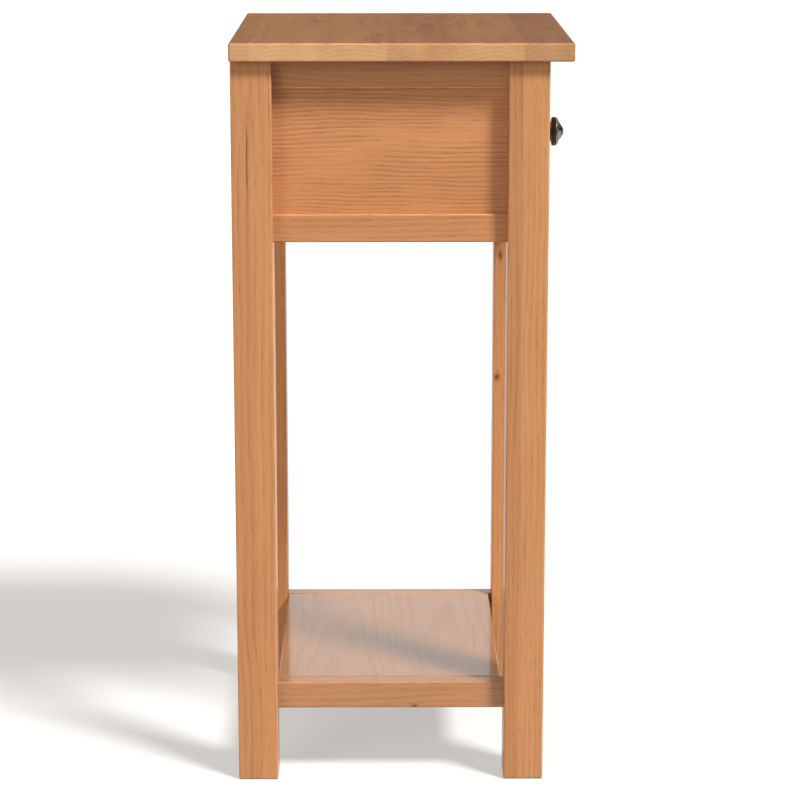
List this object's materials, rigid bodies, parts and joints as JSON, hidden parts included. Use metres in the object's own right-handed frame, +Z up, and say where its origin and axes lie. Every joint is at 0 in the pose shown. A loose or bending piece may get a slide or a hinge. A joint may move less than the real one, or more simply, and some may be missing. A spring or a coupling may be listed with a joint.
{
  "type": "side table with drawer",
  "caption": "Narrow solid-wood side table: square legs, slab top, panelled apron with a sliding drawer and round metal knob, and a low framed shelf.",
  "frame": {"origin": "on the floor, below the middle of the table's whole box, the knob included", "axes": "+Z up, +X along the table's length to the right when facing its front, -Y towards the front with the drawer"},
  "size_m": [0.38, 0.336, 0.75],
  "materials": {
    "oak_top": "satin lacquer over honey-stained oak, grain along X",
    "oak_leg": "satin lacquer over honey-stained oak, upright grain, laminated from two layers",
    "oak_rail": "satin lacquer over honey-stained oak, grain along the rail",
    "oak_panel": "satin lacquer over honey-stained oak, level grain",
    "oak_shelf": "satin lacquer over honey-stained oak, glued staves",
    "oak_drawer_front": "satin lacquer over honey-stained oak, level grain",
    "strip_wood": "planed pale hardwood, unlacquered",
    "drawer_box_wood": "planed pale hardwood with a thin clear lacquer",
    "drawer_plywood": "sanded thin plywood",
    "antique_metal": "dark antique bronze-black, rubbed brighter on the raised edges",
    "zinc_steel": "zinc-plated screws"
  },
  "bodies": {
    "table": {"tabletop": "oak_top", "leg_front_left": "oak_leg", "leg_front_right": "oak_leg", "leg_back_left": "oak_leg", "leg_back_right": "oak_leg", "left_upper_rail": "oak_rail", "left_panel": "oak_panel", "left_lower_rail": "oak_rail", "right_upper_rail": "oak_rail", "right_panel": "oak_panel", "right_lower_rail": "oak_rail", "back_upper_rail": "oak_rail", "back_panel": "oak_panel", "back_lower_rail": "oak_rail", "front_upper_rail": "oak_rail", "front_lower_rail": "oak_rail", "shelf_board": "oak_shelf", "shelf_left_rail": "oak_rail", "shelf_right_rail": "oak_rail", "shelf_left_cleat": "strip_wood", "shelf_right_cleat": "strip_wood", "left_runner": "strip_wood", "right_runner": "strip_wood", "left_guide": "strip_wood", "right_guide": "strip_wood", "left_kicker": "strip_wood", "right_kicker": "strip_wood", "drawer_stops": "strip_wood", "tabletop_screws": "zinc_steel", "runner_screws": "zinc_steel", "shelf_screws": "zinc_steel", "cleat_screws": "zinc_steel"},
    "drawer": {"drawer_front": "oak_drawer_front", "drawer_left_side": "drawer_box_wood", "drawer_right_side": "drawer_box_wood", "drawer_back": "drawer_box_wood", "drawer_bottom": "drawer_plywood", "knob": "antique_metal", "knob_screw": "zinc_steel", "drawer_bottom_screws": "zinc_steel"}
  },
  "joints": [
    {"name": "drawer_slide", "type": "slide", "parent": "table", "child": "drawer", "axis": [0, -1, 0], "range_m": [0, 0.2]}
  ]
}
